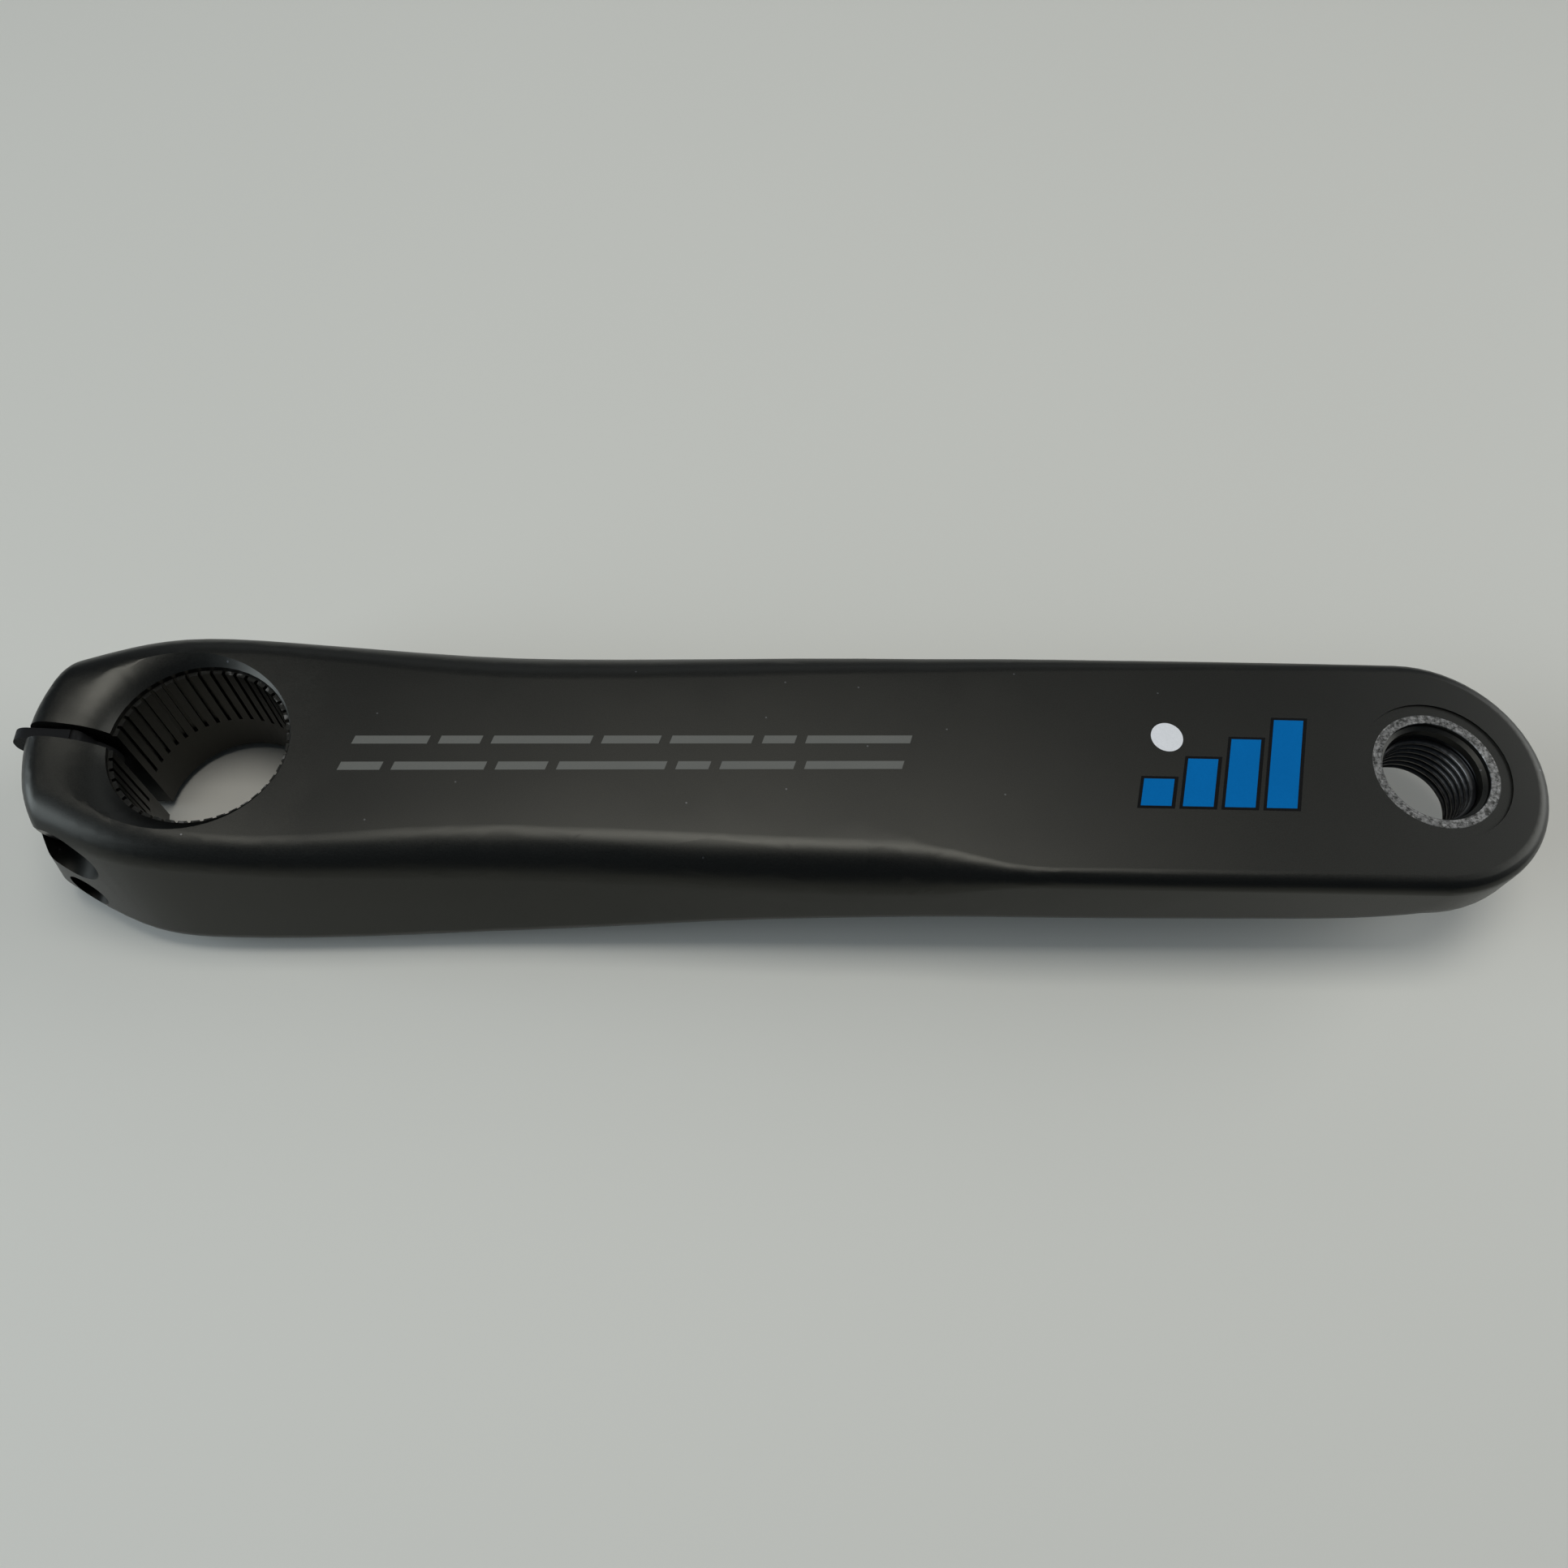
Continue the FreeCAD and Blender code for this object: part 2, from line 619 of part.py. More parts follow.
def crank_arm():
    whole = fuse("arm_whole", [clamp_end(arm_blank), arm_eye()])
    whole.Refine = True
    tall = "sizes.outer_face + sizes.hump_rise + 2 * sizes.overrun"
    eye = "sizes.crank_length"
    seat = "sizes.outer_face - sizes.eye_recess_depth"
    tools = [
        cylinder("bore_smooth", "sizes.spline_crest", "sizes.spline_start + sizes.overrun",
                 z="-sizes.overrun"),
        spline_broach(),
        cylinder("bore_lip", "sizes.lip_radius", "sizes.outer_face - sizes.spline_end + sizes.overrun",
                 z="sizes.spline_end"),
        bore_scoop(),
        box("clamp_slot", "sizes.clamp_reach_low + sizes.overrun", "sizes.slot_width", tall,
            "-sizes.clamp_reach_low - sizes.overrun", "-sizes.slot_width / 2", "-sizes.overrun"),
        cylinder("eye_thread", "sizes.eye_hole", tall, eye, z="-sizes.overrun"),
        cylinder("eye_seat", "sizes.eye_recess", "sizes.overrun", eye, z=seat),
        cone("eye_chamfer", "sizes.eye_hole", "sizes.eye_ring", "sizes.eye_ring_depth", eye,
             z=f"{seat} - sizes.eye_ring_depth"),
        cone("eye_back", "sizes.eye_hole + sizes.eye_back_chamfer", "sizes.eye_hole",
             "sizes.eye_back_chamfer", eye, z="sizes.blade_inner"),
    ]
    tools += bolt_tools("upper_bolt", "sizes.bolt_upper", -1)
    tools += bolt_tools("lower_bolt", "sizes.bolt_lower", 1)
    arm = whole
    for tool in tools:
        arm = cut(f"arm_after_{tool.Name}", arm, tool)
    arm.Label = "crank_arm"
    return arm


def pinch_bolt(name, height, side):
    turn = ALONG_Y if side > 0 else AGAINST_Y
    seat = f"{side} * sizes.bolt_seat"
    tip = f"{side} * (sizes.bolt_seat - sizes.bolt_length)"
    head_end = f"{side} * (sizes.bolt_seat + sizes.head_height - sizes.hex_depth)"
    head = cylinder(name + "_head", "sizes.head_radius", "sizes.head_height", BOLT, seat, height, turn)
    shank = cylinder(name + "_shank", "sizes.bolt_radius", "sizes.bolt_length", BOLT, tip, height, turn)
    socket = doc.addObject("Part::Prism", name + "_socket")
    socket.Polygon = 6
    bind(socket, Circumradius="sizes.hex_width / sqrt(3)", Height="sizes.hex_depth + sizes.overrun")
    place(socket, BOLT, head_end, height, turn)
    return cut(name, fuse(name + "_blank", [head, shank]), socket)


def stopper_plate():
    """Plate that swings on the upper bolt inside the slot, with a tab for the thumb and a safety toe."""
    half = "-sizes.plate_thickness / 2"

    def arm(name, reach, width, angle):
        strip = box(name + "_strip", reach, width, "sizes.plate_thickness")
        lean = math.radians(size(angle))
        along = FreeCAD.Vector(math.cos(lean), 0, math.sin(lean))
        across = FreeCAD.Vector(0, 1, 0)
        turn = FreeCAD.Rotation(along, along.cross(across) * -1, across, "XZY")
        pointing = f"sizes.{angle}"
        place(strip, f"{BOLT} + {width} / 2 * sin({pointing})", half,
              f"sizes.bolt_upper - {width} / 2 * cos({pointing})", turn)

        def at_tip(edge):
            middle = edge.CenterOfMass
            out = math.hypot(middle.x + bolt_offset(), middle.z - size("bolt_upper"))
            crosses = edge.BoundBox.YLength > edge.BoundBox.XLength + edge.BoundBox.ZLength
            return crosses and out > size(name)

        return rounded(name, strip, size("plate_tip_share") * size(f"{name}_width"), at_tip)

    hub = cylinder("plate_hub", "sizes.plate_hub", "sizes.plate_thickness", BOLT, half,
                   "sizes.bolt_upper", ALONG_Y)
    pieces = [
        hub,
        arm("plate_tab", "sizes.plate_tab", "sizes.plate_tab_width", "plate_tab_angle"),
        arm("plate_toe", "sizes.plate_toe", "sizes.plate_toe_width", "plate_toe_angle"),
    ]
    hole = cylinder("plate_hole", "sizes.plate_hole", "sizes.slot_width", BOLT,
                    "-sizes.slot_width / 2", "sizes.bolt_upper", ALONG_Y)
    return cut("stopper_plate", fuse("plate_blank", pieces), hole)


# Pod: housing bonded under the arm, twist-off battery door and the electronics inside.

FLOOR = "(sizes.pod_floor - sizes.pod_drop)"
DOOR_LOW = "(sizes.door_recess - sizes.pod_drop)"
DOOR_HIGH = f"({DOOR_LOW} + sizes.door_plate)"
LEDGE_LOW = f"({DOOR_HIGH} + sizes.door_lift)"
NECK_HIGH = f"({FLOOR} + sizes.neck_rise)"
CELL_LOW = f"({NECK_HIGH} + sizes.cell_play)"
CELL_HIGH = f"({CELL_LOW} + sizes.cell_height)"
BOARD_START = "(sizes.pod_start + sizes.pod_wall + sizes.board_gap)"
BOARD_FINISH = f"({BOARD_START} + sizes.board_length)"
BOARD_LOW = f"({FLOOR} + sizes.board_lift)"
BOARD_HIGH = f"({BOARD_LOW} + sizes.board_thickness)"
DOOR = "sizes.door_place"


def pod_block(name, inset, low):
    """Rounded block with the pod's plan, drawn in from its sides, that runs up into the arm."""
    return box(name, f"sizes.pod_length - 2 * {inset}", f"sizes.pod_width - 2 * {inset}",
               f"sizes.blade_inner + sizes.overrun - {low}",
               f"sizes.pod_start + {inset}", f"{inset} - sizes.pod_width / 2", low)


def pod_ring():
    """Outer and inner block of the pod."""
    block = pod_block("pod_outer", "0", "(-sizes.pod_drop)")
    outer = rounded("pod_corners", block, size("pod_corner"), upright)
    hollow = pod_block("pod_inner", "sizes.pod_wall", FLOOR)
    inner = rounded("pod_cavity", hollow, size("pod_corner") - size("pod_wall"), upright)
    return outer, inner


def sector(name, radius, height, z, angle, start):
    """Wedge of a disc on the door axis; its opening is in degrees."""
    item = cylinder(name, radius, height, DOOR, "0", z, FreeCAD.Rotation(FreeCAD.Vector(0, 0, 1), start))
    bind(item, Angle=angle)
    return item


def lug_starts(width, turn):
    count = int(size("lug_count"))
    return [turn - width / 2 + 360 * number / count for number in range(count)]


def bay_ring():
    """Ring on the pod floor that keeps the cell in place, wider round the door lugs."""
    ring = cylinder("bay_blank", "sizes.bay_outer", "sizes.bay_height", DOOR, z=FLOOR)
    wide = cylinder("bay_wide_bore", "sizes.bay_wide", "sizes.bay_step", DOOR, z=FLOOR)
    narrow = cylinder("bay_bore", "sizes.bay_inner", "sizes.bay_height", DOOR, z=FLOOR)
    window = box("bay_window_cut", "sizes.bay_outer", "sizes.bay_window", "sizes.bay_height",
                 f"{DOOR} - sizes.bay_outer", "sizes.finger_side_step - sizes.bay_window / 2", BOARD_HIGH)
    return cut("bay_ring", cut("bay_bored", cut("bay_stepped", ring, wide), narrow), window)


def pod_housing(outer, inner, lowered):
    def low_edge(edge):
        return edge.BoundBox.ZMax < size("pod_edge") - size("pod_drop")

    eased_block = rounded("pod_eased", outer, size("pod_edge"), low_edge, "Part::Chamfer")
    pieces = [cut("pod_shell", eased_block, inner), bay_ring()]
    ends = (("start", f"{BOARD_START} + sizes.post_inset"), ("finish", f"{BOARD_FINISH} - sizes.post_inset"))
    for end, along in ends:
        for side, sign in (("near", "-1"), ("far", "1")):
            pieces.append(cylinder(f"post_{end}_{side}", "sizes.post_radius", "sizes.board_lift", along,
                                   f"{sign} * (sizes.board_width / 2 - sizes.post_inset)", FLOOR))
    housing = fuse("pod_furnished", pieces)
    wide = size("lug_angle") + size("notch_margin")
    tools = [
        cylinder("door_hole", "sizes.door_radius + sizes.door_gap", f"{LEDGE_LOW} + sizes.pod_drop", DOOR,
                 z="-sizes.pod_drop"),
        cylinder("ledge_opening", "sizes.ledge_hole", f"{FLOOR} + sizes.pod_drop", DOOR, z="-sizes.pod_drop"),
        cylinder("pipe_hole", "sizes.pipe_radius + sizes.pipe_play", "sizes.pod_floor",
                 f"{BOARD_START} + sizes.led_place", "-sizes.led_side_step", "-sizes.pod_drop"),
    ]
    for number, start in enumerate(lug_starts(wide, size("door_turn")), start=1):
        tools.append(sector(f"notch_{number}", "sizes.door_radius + sizes.door_gap",
                            f"{FLOOR} + sizes.pod_drop", "-sizes.pod_drop",
                            "sizes.lug_angle + sizes.notch_margin", start))
    for tool in tools:
        housing = cut(f"pod_after_{tool.Name}", housing, tool)
    housing = cut("pod_trimmed", housing, lowered)
    housing.Label = "pod_housing"
    return housing


def bond_gasket(outer, inner, lowered, beam):
    layer = common("gasket_layer", cut("gasket_ring", outer, inner), lowered)
    return cut("bond_gasket", layer, beam)


def battery_door():
    plate = cylinder("door_disc", "sizes.door_radius", "sizes.door_plate", DOOR, z=DOOR_LOW)
    ring = cylinder("door_neck_blank", "sizes.neck_outer", f"{NECK_HIGH} - {DOOR_LOW}", DOOR, z=DOOR_LOW)
    bore = cylinder("door_neck_bore", "sizes.neck_inner", f"{NECK_HIGH} - {DOOR_HIGH}", DOOR, z=DOOR_HIGH)
    neck = cut("door_neck", ring, bore)
    lug_low = f"({FLOOR} + sizes.lug_play)"
    pieces = [plate, neck]
    for number, start in enumerate(lug_starts(size("lug_angle"), 0.0), start=1):
        wedge = sector(f"lug_wedge_{number}", "sizes.lug_radius", "sizes.lug_height", lug_low,
                       "sizes.lug_angle", start)
        core = cylinder(f"lug_core_{number}", "(sizes.neck_inner + sizes.neck_outer) / 2",
                        "sizes.lug_height", DOOR, z=lug_low)
        pieces.append(cut(f"lug_{number}", wedge, core))
    blank = fuse("door_blank", pieces)
    groove_low = f"({DOOR_LOW} + (sizes.door_plate - sizes.groove_width) / 2)"
    groove = cut("groove_ring",
                 cylinder("groove_outer", "sizes.door_radius + sizes.overrun", "sizes.groove_width", DOOR,
                          z=groove_low),
                 cylinder("groove_inner", "sizes.door_radius - sizes.groove_depth", "sizes.groove_width",
                          DOOR, z=groove_low))
    slot = box("coin_slot", "sizes.coin_slot_length", "sizes.coin_slot_width", "sizes.coin_slot_depth",
               f"{DOOR} - sizes.coin_slot_length / 2", "-sizes.coin_slot_width / 2", DOOR_LOW)
    return cut("battery_door", cut("door_grooved", blank, groove), slot)


def door_seal():
    low = f"{DOOR_LOW} + (sizes.door_plate - sizes.seal_height) / 2"
    inner = "(sizes.door_radius - sizes.groove_depth + sizes.seal_play)"
    ring = cylinder("seal_blank", f"{inner} + sizes.seal_depth", "sizes.seal_height", DOOR, z=low)
    hole = cylinder("seal_hole", inner, "sizes.seal_height", DOOR, z=low)
    return cut("door_seal", ring, hole)


def coin_cell():
    can = cylinder("cell_can", "sizes.cell_radius", "sizes.cell_height - sizes.cell_step", DOOR, z=CELL_LOW)
    crown = cylinder("cell_crown", "sizes.cell_crown", "sizes.cell_height", DOOR, z=CELL_LOW)
    return fuse("coin_cell", [can, crown])


def circuit_board():
    block = box("board_blank", "sizes.board_length", "sizes.board_width", "sizes.board_thickness",
                BOARD_START, "-sizes.board_width / 2", BOARD_LOW)
    return rounded("circuit_board", block, size("board_corner"), upright)


def radio_shield():
    along = f"{BOARD_START} + sizes.shield_place"
    can = box("shield_can", "sizes.shield_length", "sizes.shield_width", "sizes.shield_height",
              along, "-sizes.shield_width / 2", BOARD_HIGH)
    room = box("shield_room", "sizes.shield_length - 2 * sizes.shield_skin",
               "sizes.shield_width - 2 * sizes.shield_skin", "sizes.shield_height - sizes.shield_skin",
               f"{along} + sizes.shield_skin", "sizes.shield_skin - sizes.shield_width / 2", BOARD_HIGH)
    return cut("radio_shield", can, room)


def on_board(name, length, width, height, along, across):
    """Small part on the board, placed by its centre."""
    return box(name, length, width, height, f"{BOARD_START} + {along} - {length} / 2",
               f"{across} - {width} / 2", BOARD_HIGH)


def status_led():
    return box("status_led", "sizes.led_side", "sizes.led_side", "sizes.led_height",
               f"{BOARD_START} + sizes.led_place - sizes.led_side / 2",
               "-sizes.led_side_step - sizes.led_side / 2", f"{BOARD_LOW} - sizes.led_height")


def light_pipe():
    return cylinder("light_pipe", "sizes.pipe_radius", "sizes.pod_floor", f"{BOARD_START} + sizes.led_place",
                    "-sizes.led_side_step", "-sizes.pod_drop")


def strain_gauge(lowered, beam):
    patch = box("gauge_patch", "sizes.gauge_length", "sizes.gauge_width", "sizes.blade_inner + sizes.overrun",
                "sizes.gauge_place - sizes.gauge_length / 2", "-sizes.gauge_width / 2")
    return cut("strain_gauge", common("gauge_layer", patch, lowered), beam)


def gauge_ribbon(lowered):
    tail = box("ribbon_tail", "sizes.ribbon_thickness", "sizes.ribbon_width",
               "sizes.blade_inner + sizes.overrun", "sizes.ribbon_place", "-sizes.ribbon_width / 2", BOARD_HIGH)
    foot = box("ribbon_foot", "sizes.ribbon_foot", "sizes.ribbon_width", "sizes.ribbon_thickness",
               "sizes.ribbon_place", "-sizes.ribbon_width / 2", BOARD_HIGH)
    return cut("gauge_ribbon", fuse("ribbon_blank", [tail, foot]), lowered)


def negative_contact():
    half = "-sizes.spring_width / 2"
    foot = box("negative_foot", "sizes.spring_foot", "sizes.spring_width", "sizes.spring_sheet",
               f"{BOARD_FINISH} - sizes.spring_foot", half, BOARD_HIGH)
    back = f"{BOARD_FINISH} - sizes.spring_sheet"
    riser = box("negative_riser", "sizes.spring_sheet", "sizes.spring_width",
                f"{CELL_HIGH} + sizes.spring_sheet - {BOARD_HIGH}", back, half, BOARD_HIGH)
    reach = box("negative_strip", f"{DOOR} + sizes.spring_reach + sizes.spring_sheet - {BOARD_FINISH}",
                "sizes.spring_width", "sizes.spring_sheet", back, half, CELL_HIGH)
    return fuse("negative_contact", [foot, riser, reach])


def positive_contact():
    back = f"({BOARD_FINISH} - sizes.spring_foot)"
    side = "sizes.finger_side_step"
    foot = box("positive_foot", "sizes.spring_foot", "sizes.spring_foot", "sizes.spring_sheet", back,
               f"{side} - sizes.spring_foot / 2", BOARD_HIGH)
    inside = f"({side} - sizes.spring_sheet / 2)"
    web = box("positive_web", "sizes.spring_foot", "sizes.spring_sheet",
              "sizes.finger_lift + sizes.finger_height", back, inside, BOARD_HIGH)
    edge = f"({DOOR} - sqrt(sizes.cell_radius ^ 2 - {inside} ^ 2))"
    finger = box("positive_finger", f"{edge} - sizes.finger_gap - {back}", "sizes.spring_sheet",
                 "sizes.finger_height", back, inside, f"{BOARD_HIGH} + sizes.finger_lift")
    return fuse("positive_contact", [foot, web, finger])


arm_blank = arm_beam("arm_blank")
bond_blank = arm_beam("bond_blank", size("bond"))
film_blank = arm_beam("film_blank", size("gauge_thickness"))
pod_outer, pod_inner = pod_ring()

NODES = [
    crank_arm(),
    pinch_bolt("pinch_bolt_upper", "sizes.bolt_upper", -1),
    pinch_bolt("pinch_bolt_lower", "sizes.bolt_lower", 1),
    stopper_plate(),
    pod_housing(pod_outer, pod_inner, bond_blank),
    bond_gasket(pod_outer, pod_inner, bond_blank, arm_blank),
    battery_door(),
    door_seal(),
    coin_cell(),
    negative_contact(),
    positive_contact(),
    circuit_board(),
    radio_shield(),
    on_board("radio_chip", "sizes.chip_side", "sizes.chip_side", "sizes.chip_height",
             "sizes.shield_place + sizes.shield_length / 2", "0"),
    on_board("motion_sensor", "sizes.sensor_side", "sizes.sensor_side", "sizes.sensor_height",
             "sizes.sensor_place", "sizes.sensor_side_step"),
    on_board("chip_antenna", "sizes.antenna_width", "sizes.antenna_length", "sizes.antenna_height",
             "sizes.antenna_place", "0"),
    status_led(),
    light_pipe(),
    strain_gauge(film_blank, arm_blank),
    gauge_ribbon(film_blank),
]

doc.recompute()
for item in doc.Objects:
    if "Invalid" in item.State or "Error" in item.State:
        raise RuntimeError(f"{item.Name} failed: {item.State}")
for node in NODES:
    if node.Shape.isNull() or not node.Shape.isValid():
        raise RuntimeError(f"{node.Name} has no valid shape")
os.makedirs("parts", exist_ok=True)
for node in NODES:
    node.Shape.exportStep(f"parts/{node.Label}.step")
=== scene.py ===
import json
import math

import bmesh
import bpy
from mathutils import Matrix, Vector


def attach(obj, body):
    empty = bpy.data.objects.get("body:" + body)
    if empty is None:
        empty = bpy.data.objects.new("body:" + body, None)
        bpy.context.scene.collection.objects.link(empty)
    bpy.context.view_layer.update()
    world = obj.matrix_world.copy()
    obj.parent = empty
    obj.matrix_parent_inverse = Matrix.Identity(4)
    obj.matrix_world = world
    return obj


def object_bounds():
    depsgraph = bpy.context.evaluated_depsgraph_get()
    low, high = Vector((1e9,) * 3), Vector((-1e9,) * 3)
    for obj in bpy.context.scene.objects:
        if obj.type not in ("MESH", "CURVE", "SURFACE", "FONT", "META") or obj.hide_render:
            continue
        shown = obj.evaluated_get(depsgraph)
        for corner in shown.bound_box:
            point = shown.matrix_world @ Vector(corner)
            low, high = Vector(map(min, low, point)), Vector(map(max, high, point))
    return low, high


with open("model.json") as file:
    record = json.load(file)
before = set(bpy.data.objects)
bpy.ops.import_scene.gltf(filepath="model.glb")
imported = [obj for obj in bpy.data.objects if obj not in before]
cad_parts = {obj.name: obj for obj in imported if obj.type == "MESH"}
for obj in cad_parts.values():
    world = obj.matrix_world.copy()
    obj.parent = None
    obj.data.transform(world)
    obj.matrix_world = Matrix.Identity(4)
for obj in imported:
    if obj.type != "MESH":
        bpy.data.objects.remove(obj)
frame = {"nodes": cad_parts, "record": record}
first_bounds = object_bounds()
NODES = frame["nodes"]
MOUNTS = {mount["name"]: mount for mount in frame["record"]["mounts"]}
MM = 0.001

# Places on the arm, in metres, that the looks refer to.
CRANK_LENGTH = MOUNTS["pedal_eye"]["pos_m"][0]
OUTER_FACE = 20.85 * MM
PEDAL_SEAT = 20.6 * MM
CHAMFER_DEPTH = 1.2 * MM
CHAMFER_RADIUS = 9.05 * MM
RING_RADIUS = 7.72 * MM
THREAD_RADIUS = MOUNTS["pedal_eye"]["dims"]["r_mm"] * MM
THREAD_DEPTH = 0.72 * MM
THREAD_PITCH = 1.27 * MM
THREAD_START = 8.6 * MM
THREAD_END = 18.2 * MM
RIB_RADIUS = MOUNTS["spindle_bore"]["dims"]["r_mm"] * MM
GROOVE_RADIUS = 12.0 * MM
SPLINE_END = MOUNTS["spindle_bore"]["dims"]["length_mm"] * MM

# Thickness of a print, and the gap that keeps two faces from lying in one plane.
SKIN = 0.02 * MM
TABLE_HEIGHT = first_bounds[0][2] - SKIN

NEUTRAL = (1.0, 1.0, 1.0)


# Shader building

class Shader:
    """A node material under construction."""

    def __init__(self, name):
        self.material = bpy.data.materials.new(name)
        self.material.use_nodes = True
        self.tree = self.material.node_tree
        self.surface = self.tree.nodes["Principled BSDF"]
        self.place = self.node("ShaderNodeTexCoord").outputs["Object"]

    def node(self, kind, **settings):
        item = self.tree.nodes.new(kind)
        for key, value in settings.items():
            setattr(item, key, value)
        return item

    def feed(self, socket, value):
        """Links an output socket, or sets a plain value."""
        if isinstance(value, bpy.types.NodeSocket):
            self.tree.links.new(value, socket)
        else:
            socket.default_value = value

    def set(self, **inputs):
        """Sets the surface's own sockets; underscores stand for the spaces in their names."""
        for name, value in inputs.items():
            self.feed(self.surface.inputs[name.replace("_", " ")], value)

    def math(self, operation, first, second=0.0):
        item = self.node("ShaderNodeMath", operation=operation)
        self.feed(item.inputs[0], first)
        self.feed(item.inputs[1], second)
        return item.outputs[0]

    def times(self, first, second):
        return self.math("MULTIPLY", first, second)

    def from_axis(self, x, y):
        """Distance from the axis where x and y are 0."""
        return self.math("SQRT", self.math("ADD", self.times(x, x), self.times(y, y)))

    def split(self, vector):
        item = self.node("ShaderNodeSeparateXYZ")
        self.feed(item.inputs[0], vector)
        return tuple(item.outputs)

    def join(self, x, y, z):
        item = self.node("ShaderNodeCombineXYZ")
        for socket, value in zip(item.inputs, (x, y, z)):
            self.feed(socket, value)
        return item.outputs[0]

    def noise(self, scale, detail, vector=None, roughness=0.5):
        item = self.node("ShaderNodeTexNoise")
        self.feed(item.inputs["Vector"], self.place if vector is None else vector)
        self.feed(item.inputs["Scale"], scale)
        self.feed(item.inputs["Detail"], detail)
        self.feed(item.inputs["Roughness"], roughness)
        return item.outputs["Fac"]

    def remap(self, value, source, target):
        """Carries the source range over to the target range, with no overshoot."""
        item = self.node("ShaderNodeMapRange", clamp=True)
        for socket, number in zip(item.inputs, (value, *source, *target)):
            self.feed(socket, number)
        return item.outputs[0]

    def band(self, value, low, high, soft):
        """1 between low and high, fading to 0 over soft."""
        rise = self.remap(value, (low - soft, low + soft), (0.0, 1.0))
        fall = self.remap(value, (high - soft, high + soft), (1.0, 0.0))
        return self.times(rise, fall)

    def specks(self, x, y, spacing, radius, share):
        """Small round specks, seen from above, in about that share of the cells of a loose grid."""
        core = 0.7 * radius
        flat_enough = (0.4, 0.7)
        item = self.node("ShaderNodeTexVoronoi", voronoi_dimensions="2D")
        self.feed(item.inputs["Vector"], self.join(x, y, 0.0))
        self.feed(item.inputs["Scale"], 1.0 / spacing)
        inside = self.remap(item.outputs["Distance"], (core / spacing, radius / spacing), (1.0, 0.0))
        drawn = self.math("LESS_THAN", self.split(item.outputs["Color"])[0], share)
        facing = self.split(self.node("ShaderNodeNewGeometry").outputs["Normal"])[2]
        on_top = self.remap(facing, flat_enough, (0.0, 1.0))
        return self.times(inside, self.times(drawn, on_top))

    def mix(self, factor, first, second):
        """Mixes two colours."""
        item = self.node("ShaderNodeMix", data_type="RGBA")
        self.feed(item.inputs[0], factor)
        self.feed(item.inputs[6], first)
        self.feed(item.inputs[7], second)
        return item.outputs[2]

    def blend(self, factor, first, second):
        """Mixes two numbers."""
        item = self.node("ShaderNodeMix", data_type="FLOAT")
        self.feed(item.inputs[0], factor)
        self.feed(item.inputs[2], first)
        self.feed(item.inputs[3], second)
        return item.outputs[0]

    def bump(self, height, strength, distance):
        item = self.node("ShaderNodeBump")
        self.feed(item.inputs["Height"], height)
        self.feed(item.inputs["Strength"], strength)
        self.feed(item.inputs["Distance"], distance)
        self.feed(self.surface.inputs["Normal"], item.outputs[0])


def grey(level, tint=NEUTRAL):
    return (level * tint[0], level * tint[1], level * tint[2], 1.0)


# Materials

def pedal_ring_mask(paint, eye_radius, z):
    """The flat ring round the pedal eye."""
    margin, depth, soft = 0.1 * MM, 0.15 * MM, 0.04 * MM
    around = paint.band(eye_radius, RING_RADIUS - margin, CHAMFER_RADIUS, soft)
    level = paint.band(z, PEDAL_SEAT - depth, PEDAL_SEAT + depth, soft)
    return paint.times(around, level)


def rib_end_glints(paint, x, y, z):
    """Painted glints at the outboard ends of the spline ribs, drawn as spots of bare metal, mostly on the
    pedal's side of the bore.
    """
    margin, depth = 0.2 * MM, 0.15 * MM
    around = paint.band(paint.from_axis(x, y), RIB_RADIUS - margin, GROOVE_RADIUS, soft=0.05 * MM)
    level = paint.band(z, SPLINE_END - depth, SPLINE_END + depth, soft=0.1 * MM)
    # The painted glints are strongest on the pedal's side of the bore, where the light catches the rib ends.
    glint_side = paint.remap(x, (-3.0 * MM, 2.0 * MM), (0.1, 1.0))
    glint_spots = paint.remap(paint.noise(scale=900.0, detail=2.0), (0.56, 0.66), (0.0, 0.6))
    return paint.times(paint.times(around, level), paint.times(glint_side, glint_spots))


def anodised_coat(paint, x, y, grain):
    """Colour of the dark satin coat: clouded, finely grained and a little dusty."""
    cloud = paint.noise(scale=60.0, detail=3.0)
    dark = paint.mix(cloud, grey(0.034, (1.0, 0.995, 0.90)), grey(0.042, (1.0, 0.985, 0.87)))
    grain_share = paint.remap(grain, (0.35, 0.7), (0.0, 0.35))
    speckled = paint.mix(grain_share, dark, grey(0.055, (1.0, 0.99, 0.89)))
    dust = paint.specks(x, y, spacing=11.0 * MM, radius=0.15 * MM, share=0.35)
    return paint.mix(dust, speckled, grey(0.11))


